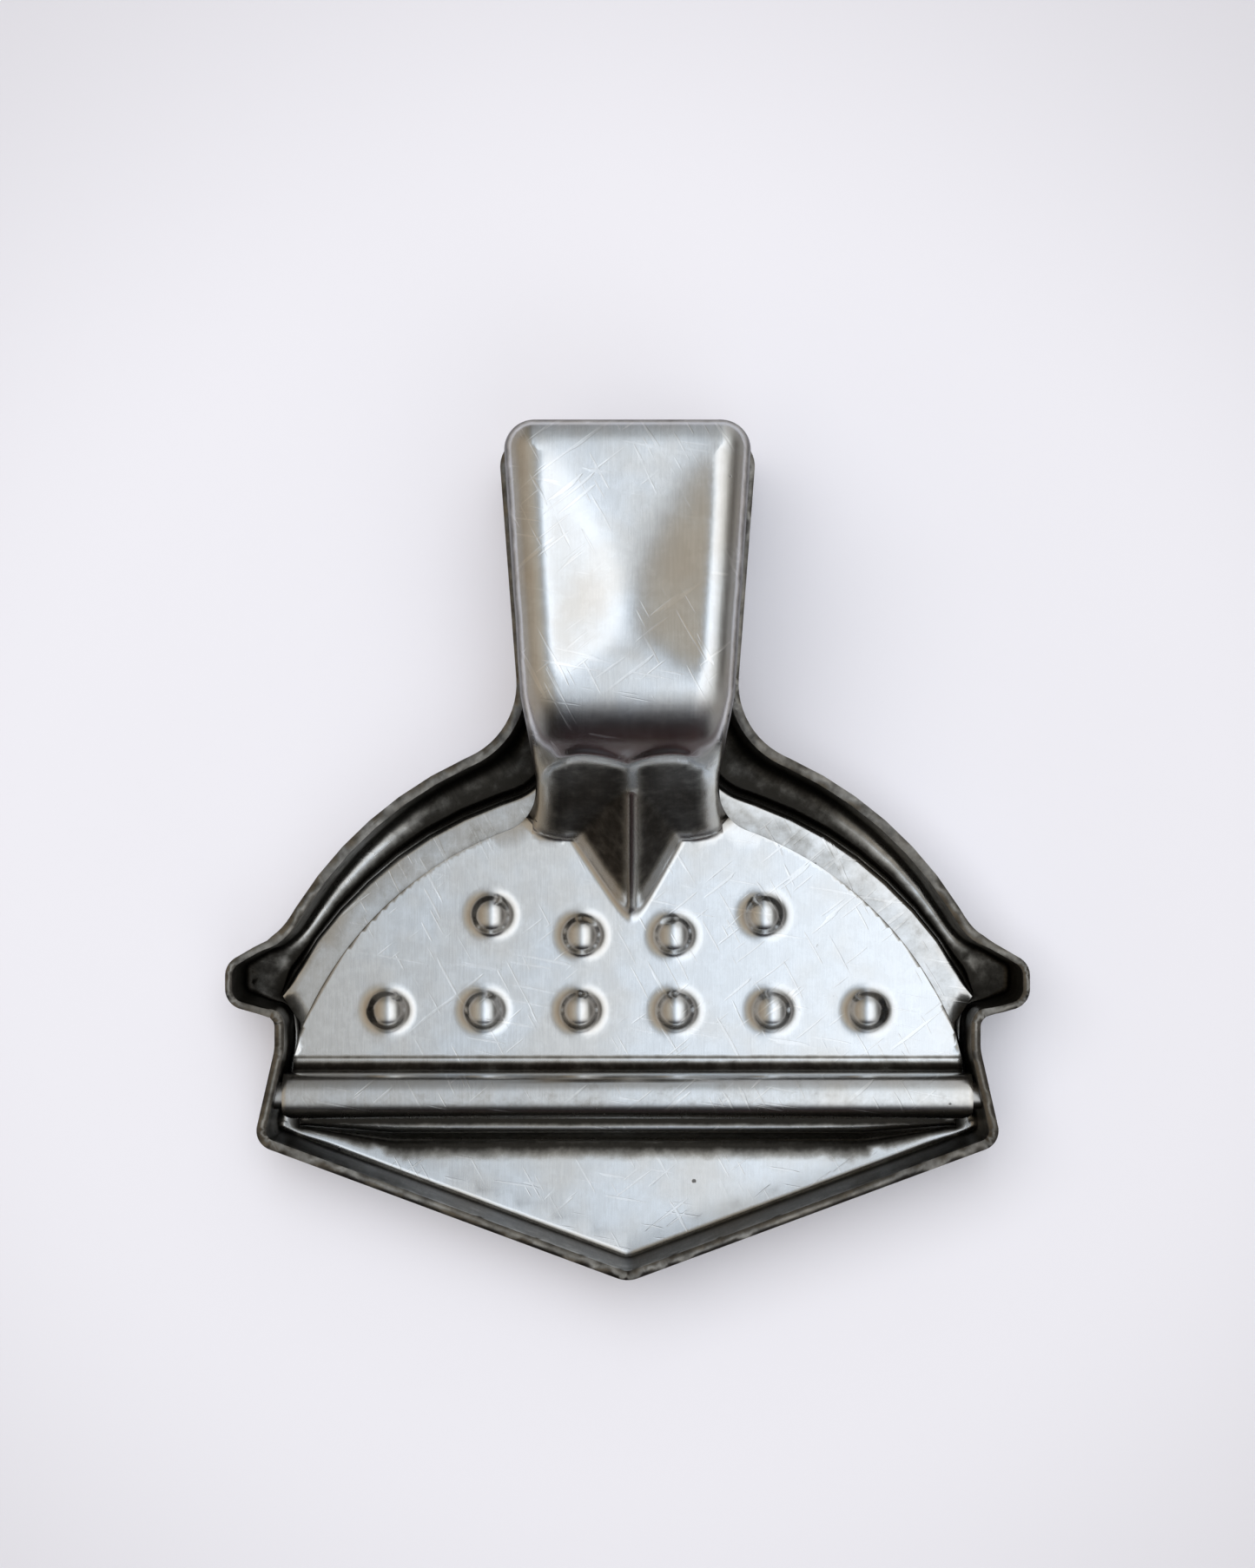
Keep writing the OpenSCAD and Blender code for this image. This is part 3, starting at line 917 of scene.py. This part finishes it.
    away_z = PLATE_TOP * MM
    (ax, ay), (bx, by) = BACK_STUDS
    mod = obj.modifiers.new("studs", "NODES")
    mod.node_group = tree
    mod[ids["Pitch"]] = FRONT_PITCH * MM
    mod[ids["Front count"]] = FRONT_COUNT
    first = (-(FRONT_COUNT - 1) / 2 * FRONT_PITCH * MM, FRONT_ROW_Y * MM + HINGE_Y, away_z)
    mod[ids["Front start"]] = first
    mod[ids["Back starts"]] = (ax * MM, ay * MM + HINGE_Y, away_z)
    mod[ids["Back gap"]] = ((bx - ax) * MM, (by - ay) * MM, 0.0)
    mod[ids["Stud height"]] = STUD_H * MM
    mod[ids["Stud radius"]] = STUD_REACH * MM
    mod[ids["Unevenness"]] = STUD_UNEVEN
    mod[ids["Seed"]] = 7
    mod[ids["Steel"]] = obj.data.materials[0]
    bpy.context.view_layer.update()
    graph = bpy.context.evaluated_depsgraph_get()
    mesh = bpy.data.meshes.new_from_object(obj.evaluated_get(graph))
    obj.modifiers.remove(mod)
    obj.data = mesh


def stud_places():
    out = []
    for side in (-1, 1):
        out += [(side * (i + 0.5) * FRONT_PITCH, FRONT_ROW_Y) for i in range(FRONT_COUNT // 2)]
        out += [(side * x, y) for x, y in BACK_STUDS]
    return out


# ---- Materials ----

def new_material(name):
    mat = bpy.data.materials.new(name)
    mat.use_nodes = True
    tree = mat.node_tree
    shader = tree.nodes["Principled BSDF"]
    return mat, tree, shader


def wire(tree, value, socket):
    """Sets a socket, or links it when the value is another node's output."""
    if isinstance(value, bpy.types.NodeSocket):
        tree.links.new(value, socket)
    else:
        socket.default_value = value


def noise(tree, coords, scale, detail=2.0, rough=0.5, stretch=None, turn=0.0):
    """Noise, stretched along an axis and turned about Z when asked."""
    if stretch:
        mapping = tree.nodes.new("ShaderNodeMapping")
        mapping.vector_type = "TEXTURE"
        mapping.inputs["Rotation"].default_value = (0, 0, turn)
        mapping.inputs["Scale"].default_value = tuple(1 / k for k in stretch)
        tree.links.new(coords, mapping.inputs["Vector"])
        coords = mapping.outputs[0]
    node = tree.nodes.new("ShaderNodeTexNoise")
    tree.links.new(coords, node.inputs["Vector"])
    node.inputs["Scale"].default_value = scale
    node.inputs["Detail"].default_value = detail
    node.inputs["Roughness"].default_value = rough
    return node.outputs["Fac"]


def math_node(tree, kind, a, b=0.0, clamp=False):
    node = tree.nodes.new("ShaderNodeMath")
    node.operation = kind
    node.use_clamp = clamp
    wire(tree, a, node.inputs[0])
    wire(tree, b, node.inputs[1])
    return node.outputs[0]


def between(tree, value, low, high, to_low=0.0, to_high=1.0):
    """Smooth step of a value from low to high."""
    node = tree.nodes.new("ShaderNodeMapRange")
    node.interpolation_type = "SMOOTHSTEP"
    wire(tree, value, node.inputs["Value"])
    for socket, v in (("From Min", low), ("From Max", high), ("To Min", to_low), ("To Max", to_high)):
        wire(tree, v, node.inputs[socket])
    return node.outputs["Result"]


def blend(tree, fac, a, b):
    node = tree.nodes.new("ShaderNodeMix")
    node.data_type = "RGBA"
    wire(tree, fac, node.inputs["Factor"])
    wire(tree, a, node.inputs[6])
    wire(tree, b, node.inputs[7])
    return node.outputs[2]


def steel(name, colour, rough, grime_and_shade, grain):
    """Satin pressed steel: fine grain, soft mottling, scratches, specks, and grime mixed with painted
    shade.

    The per-vertex attribute, from 0 to 1, says how dull and dark a place is; it holds real grime and
    also painted shade in recesses, creases and under other parts.
    """
    mat, tree, shader = new_material(name)
    here = tree.nodes.new("ShaderNodeTexCoord").outputs["Object"]
    run = tree.nodes.new("ShaderNodeUVMap")
    run.uv_map = "sheet"
    mark = tree.nodes.new("ShaderNodeAttribute")
    mark.attribute_name = "stain_and_shade"
    mark = mark.outputs["Fac"]

    fine = noise(tree, here, 1.0, 3.0, 0.6, grain)
    cloud = noise(tree, here, 95.0, 3.0, 0.55)
    blot = noise(tree, here, 620.0, 5.0, 0.65)
    streak = noise(tree, run.outputs[0], 1.0, 2.0, 0.5, (3200, 500, 1))
    lines = []
    for turn, low in ((0.5, 0.68), (-0.9, 0.69), (1.4, 0.69)):
        n = noise(tree, here, 1.0, 1.0, 0.3, (2600, 130, 130), turn)
        lines.append(between(tree, n, low, low + 0.03))
    scratch = math_node(tree, "MAXIMUM", math_node(tree, "MAXIMUM", lines[0], lines[1]), lines[2])
    patchy = between(tree, cloud, 0.42, 0.56)
    scratch = math_node(tree, "MULTIPLY", scratch, patchy)
    speck = tree.nodes.new("ShaderNodeTexVoronoi")
    tree.links.new(here, speck.inputs["Vector"])
    speck.inputs["Scale"].default_value = 210.0
    dot = between(tree, speck.outputs["Distance"], 0.035, 0.06, 1.0, 0.0)
    dot = math_node(tree, "MULTIPLY", dot, between(tree, blot, 0.46, 0.52))

    uneven = math_node(tree, "MULTIPLY", math_node(tree, "SUBTRACT", blot, 0.5), 0.6)
    broken = math_node(tree, "ADD", mark, uneven)
    marked = between(tree, mark, 0.0, 0.12)
    dirt_and_shade = math_node(tree, "MULTIPLY", between(tree, broken, 0.12, 0.95), marked)
    lighter = tuple(min(1, c * k) for c, k in zip(colour, (1.03, 1.06, 1.09)))
    warm = tuple(c * k for c, k in zip(colour, (0.98, 0.955, 0.92)))
    base = blend(tree, between(tree, cloud, 0.36, 0.62), (*warm, 1), (*lighter, 1))
    base = blend(tree, between(tree, fine, 0.35, 0.65, 0.06, 0.0), base, (0.3, 0.3, 0.3, 1))
    base = blend(tree, between(tree, blot, 0.42, 0.62, 0.1, 0.0), base, (0.34, 0.31, 0.27, 1))
    base = blend(tree, math_node(tree, "MULTIPLY", scratch, 0.32), base, (0.95, 0.95, 0.95, 1))
    tint = math_node(tree, "MULTIPLY", between(tree, broken, 0.0, 0.55, 0.0, 0.62), marked)
    base = blend(tree, tint, base, (0.33, 0.295, 0.235, 1))
    paler = tuple(c * 1.5 for c in grime_and_shade)
    tone = blend(tree, between(tree, streak, 0.4, 0.65), (*grime_and_shade, 1), (*paler, 1))
    # Dark places turn towards the dark colour given: grime, and painted shade where the attribute
    # carries it.
    base = blend(tree, math_node(tree, "MULTIPLY", dirt_and_shade, 0.97), base, tone)
    base = blend(tree, math_node(tree, "MULTIPLY", dot, 0.75), base, (0.03, 0.03, 0.035, 1))
    tree.links.new(base, shader.inputs["Base Color"])
    shader.inputs["Metallic"].default_value = 1.0

    level = math_node(tree, "ADD", rough - 0.07, math_node(tree, "MULTIPLY", fine, 0.08))
    level = math_node(tree, "ADD", level, math_node(tree, "MULTIPLY", blot, 0.06))
    level = math_node(tree, "ADD", level, math_node(tree, "MULTIPLY", dirt_and_shade, 0.22))
    level = math_node(tree, "ADD", level, math_node(tree, "MULTIPLY", dot, 0.2), True)
    tree.links.new(level, shader.inputs["Roughness"])

    height = math_node(tree, "MULTIPLY", fine, 0.14)
    height = math_node(tree, "ADD", height, math_node(tree, "MULTIPLY", blot, 0.35))
    height = math_node(tree, "SUBTRACT", height, math_node(tree, "MULTIPLY", scratch, 0.5))
    height = math_node(tree, "SUBTRACT", height, math_node(tree, "MULTIPLY", dot, 0.8))
    bump = tree.nodes.new("ShaderNodeBump")
    bump.inputs["Strength"].default_value = 0.35
    bump.inputs["Distance"].default_value = 0.00004
    tree.links.new(height, bump.inputs["Height"])
    tree.links.new(bump.outputs[0], shader.inputs["Normal"])
    return mat


# ---- Stage ----

# Brightness of the room by direction: sideways (-1 left, 1 right) and in depth (-1 near, 1 far).
ROOM_X = (
    (-1.0, 0.26, 0.21, 0.15),
    (-0.6, 0.40, 0.33, 0.25),
    (-0.36, 0.46, 0.41, 0.335),
    (-0.2, 0.42, 0.40, 0.36),
    (-0.1, 0.43, 0.445, 0.46),
    (0.0, 0.76, 0.84, 0.93),
    (0.1, 1.35, 1.40, 1.45),
    (0.3, 1.15, 1.15, 1.15),
    (0.5, 0.8, 0.8, 0.78),
    (0.65, 0.3, 0.29, 0.27),
    (0.8, 0.12, 0.11, 0.1),
    (1.0, 0.1, 0.09, 0.08),
)
ROOM_Y = (
    (-1.0, 0.03, 0.014, 0.013),
    (-0.9, 0.02, 0.018, 0.02),
    (-0.8, 0.16, 0.155, 0.16),
    (-0.66, 0.75, 0.75, 0.75),
    (-0.5, 1.0, 1.0, 1.0),
    (0.0, 1.0, 1.0, 1.0),
    (0.4, 0.95, 0.95, 0.95),
    (0.7, 0.55, 0.54, 0.52),
    (1.0, 0.4, 0.38, 0.36),
)
ROOM_STRENGTH = 1.1
LOW_WALL = (0.42, 0.40, 0.38, 1)     # the room's sides near the table
TABLE_PALE = (0.80, 0.80, 0.86, 1)
TABLE_FAR = (0.64, 0.635, 0.68, 1)
CARD_NEAR = -0.095                   # metres, where the dark card ends on the table
CARD_WIDE, CARD_DEEP = 1.2, 0.9
CARD_LIFT = 0.0006


def stage():
    bpy.ops.mesh.primitive_plane_add(size=6)
    floor = bpy.context.object
    floor.name = "table"
    mat, tree, shader = new_material("pale_table")
    shader.inputs["Roughness"].default_value = 0.6
    nodes, links = tree.nodes, tree.links
    coord = nodes.new("ShaderNodeTexCoord")
    far = nodes.new("ShaderNodeVectorMath")
    far.operation = "LENGTH"
    links.new(coord.outputs["Object"], far.inputs[0])
    # The table is painted darker from 6 cm out to 12.5 cm from the object: a painted fall-off of the
    # light.
    dim = between(tree, far.outputs["Value"], 0.06, 0.125)
    shade = blend(tree, dim, TABLE_PALE, TABLE_FAR)
    links.new(shade, shader.inputs["Base Color"])
    floor.data.materials.append(mat)

    # A dark card on the near side of the table, which only reflections see.
    bpy.ops.mesh.primitive_plane_add(size=1)
    card = bpy.context.object
    card.name = "dark_card"
    for v in card.data.vertices:
        v.co = (v.co.x * CARD_WIDE, CARD_NEAR + (v.co.y - 0.5) * CARD_DEEP, CARD_LIFT)
    mat, tree, shader = new_material("dark_card")
    shader.inputs["Base Color"].default_value = (0.06, 0.035, 0.033, 1)
    shader.inputs["Roughness"].default_value = 0.8
    card.data.materials.append(mat)
    card.visible_camera = False
    card.visible_diffuse = False
    card.visible_shadow = False

    world = bpy.data.worlds.new("soft_room")
    bpy.context.scene.world = world
    world.use_nodes = True
    nodes, links = world.node_tree.nodes, world.node_tree.links
    back = nodes["Background"]
    coord = nodes.new("ShaderNodeTexCoord")
    split = nodes.new("ShaderNodeSeparateXYZ")
    both = nodes.new("ShaderNodeMix")
    both.data_type = "RGBA"
    both.blend_type = "MULTIPLY"
    both.inputs["Factor"].default_value = 1.0
    links.new(coord.outputs["Generated"], split.inputs[0])
    for axis, stops, socket in (("X", ROOM_X, 6), ("Y", ROOM_Y, 7)):
        unit_range = nodes.new("ShaderNodeMapRange")
        unit_range.inputs["From Min"].default_value = -1.0
        links.new(split.outputs[axis], unit_range.inputs["Value"])
        ramp = nodes.new("ShaderNodeValToRGB")
        links.new(unit_range.outputs["Result"], ramp.inputs["Fac"])
        links.new(ramp.outputs["Color"], both.inputs[socket])
        band = ramp.color_ramp.elements
        while len(band) < len(stops):
            band.new(0.5)
        for e, (at, red, green, blue) in zip(band, stops):
            e.position = (at + 1) / 2
            e.color = (red, green, blue, 1)
    sideways = nodes.new("ShaderNodeMath")
    sideways.operation = "ABSOLUTE"
    links.new(split.outputs["X"], sideways.inputs[0])
    tree = world.node_tree
    low = between(tree, split.outputs["Z"], 0.3, 0.6, 1.0, 0.0)
    low = math_node(tree, "MULTIPLY", low, between(tree, sideways.outputs[0], 0.3, 0.6))
    wall = blend(tree, math_node(tree, "MULTIPLY", low, 0.5), both.outputs[2], LOW_WALL)
    links.new(wall, back.inputs["Color"])
    back.inputs["Strength"].default_value = ROOM_STRENGTH

    lamp = bpy.data.lights.new("window", "AREA")
    lamp.shape = "RECTANGLE"
    lamp.size, lamp.size_y = 1.2, 1.2
    lamp.energy = 11.5
    lamp.color = (0.985, 0.985, 1.0)
    window = bpy.data.objects.new("window", lamp)
    window.location = (-0.25, 0.35, 1.15)
    window.rotation_euler = (Vector((0, 0, 0)) - window.location).to_track_quat("-Z", "Y").to_euler()
    window.visible_glossy = False
    bpy.context.scene.collection.objects.link(window)


def camera():
    cam = bpy.data.cameras.new("camera")
    cam.sensor_fit = "VERTICAL"
    cam.sensor_height = 36
    cam.lens = 73.36
    cam.clip_start = 0.01
    obj = bpy.data.objects.new("camera", cam)
    obj.location = (0, HINGE_Y + 31.5 * MM, 330 * MM)
    bpy.context.scene.collection.objects.link(obj)
    bpy.context.scene.camera = obj


# ---- Assembly ----

BRUSHED = (5000, 350, 350)      # finer across than along
DRAWN_WIRE = (700, 9000, 9000)
# The fourth value is the dark colour used for grime and for the painted shade the sheets carry.
TRAY_STEEL = steel("tray_steel", (0.70, 0.71, 0.72), 0.22, (0.018, 0.016, 0.013), BRUSHED)
PRESS_STEEL = steel("press_steel", (0.74, 0.75, 0.76), 0.21, (0.016, 0.012, 0.009), BRUSHED)
tray = juice_tray()
press = press_sheet()
for piece, body, node, slot in (
    (tray, "tray", "juice_tray", "tray_steel"),
    (press, "press", "press_plate", "press_steel"),
):
    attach(piece, body)
    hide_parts(node)

pin = frame["nodes"]["hinge_pin"]
pin_mat = steel("pin_steel", (0.55, 0.55, 0.55), 0.3, (0.05, 0.05, 0.05), DRAWN_WIRE)
if pin.material_slots:
    pin.material_slots[0].material = pin_mat
else:
    pin.data.materials.append(pin_mat)

stage()
camera()
bpy.context.scene.view_settings.view_transform = "Standard"
